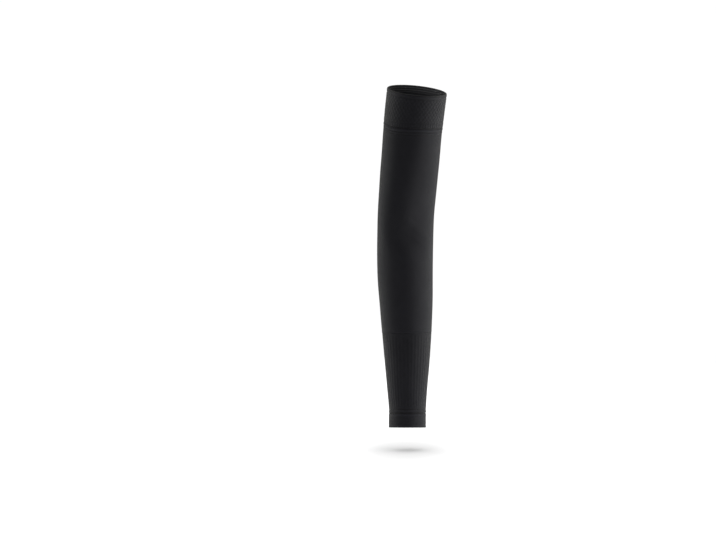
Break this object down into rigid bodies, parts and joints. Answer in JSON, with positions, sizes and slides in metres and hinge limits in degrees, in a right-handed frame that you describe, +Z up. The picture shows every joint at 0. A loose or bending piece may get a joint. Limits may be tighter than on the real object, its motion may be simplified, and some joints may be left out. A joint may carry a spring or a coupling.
{
  "type": "sun protection arm sleeve",
  "caption": "Black knitted arm sleeve for sun protection, a slightly bent tapering tube with a wide upper band, ribbed forearm and narrow wrist cuff, open at both ends.",
  "frame": {"origin": "centre of the upper opening, level with the middle of the band's rim", "axes": "+Z up along the sleeve towards the upper arm, +X to the right as the front is seen, -Y to the front"},
  "size_m": [0.0834, 0.0879, 0.4148],
  "materials": {
    "band_knit": "matt checked double knit",
    "plain_knit": "matt fine jersey knit",
    "rib_knit": "matt ribbed mesh knit",
    "cuff_knit": "matt turned double hem"
  },
  "bodies": {
    "root": {"upper_band": "band_knit", "upper_sleeve": "plain_knit", "forearm_sleeve": "rib_knit", "wrist_cuff": "cuff_knit"}
  },
  "joints": []
}
